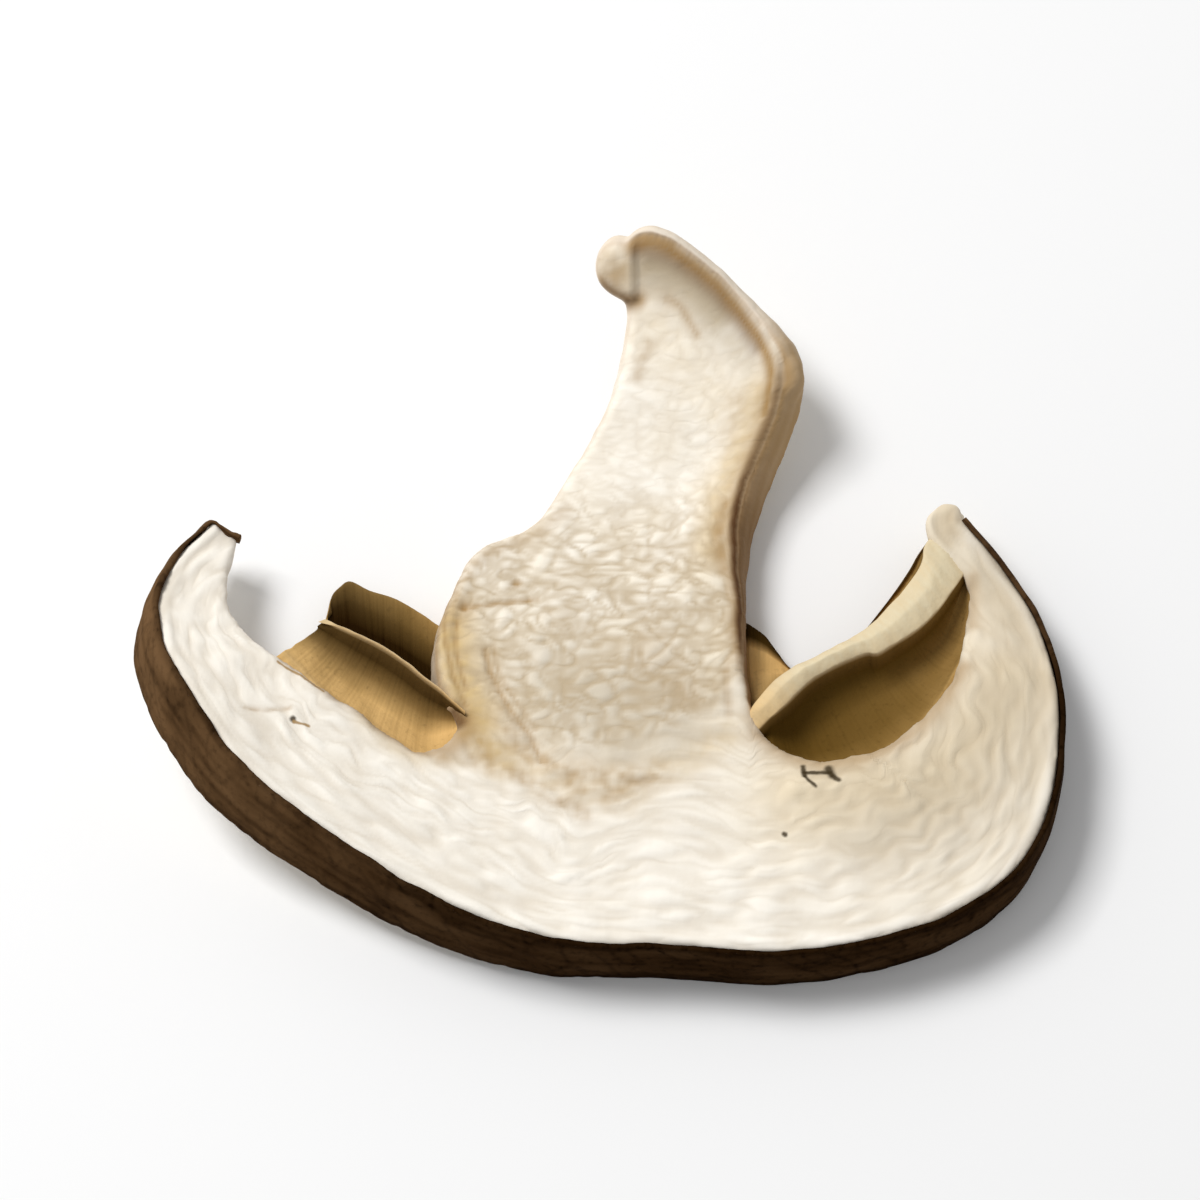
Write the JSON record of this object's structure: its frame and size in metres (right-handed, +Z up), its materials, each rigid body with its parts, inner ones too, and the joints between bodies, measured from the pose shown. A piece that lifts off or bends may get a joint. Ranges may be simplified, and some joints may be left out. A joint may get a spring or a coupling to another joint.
{
  "type": "dried porcini mushroom slice",
  "caption": "Lengthwise slice of dried porcini with brown-edged cap, curled stem and shrunken pore layers, lying on its back cut face.",
  "frame": {"origin": "centre of the bounding box's bottom, on the surface the slice lies on", "axes": "+X across the cap from its left tip to its right rim, +Y from the crown of the cap to the end of the stem, +Z up out of the front cut face"},
  "size_m": [0.0536, 0.0456, 0.0097],
  "materials": {
    "dried_flesh": "matt, cream, finely wrinkled",
    "cap_skin": "dull dark brown, finely streaked",
    "pore_layer": "matt olive brown, fine parallel tubes"
  },
  "bodies": {
    "root": {"porcini_slice": "dried_flesh"}
  },
  "joints": []
}
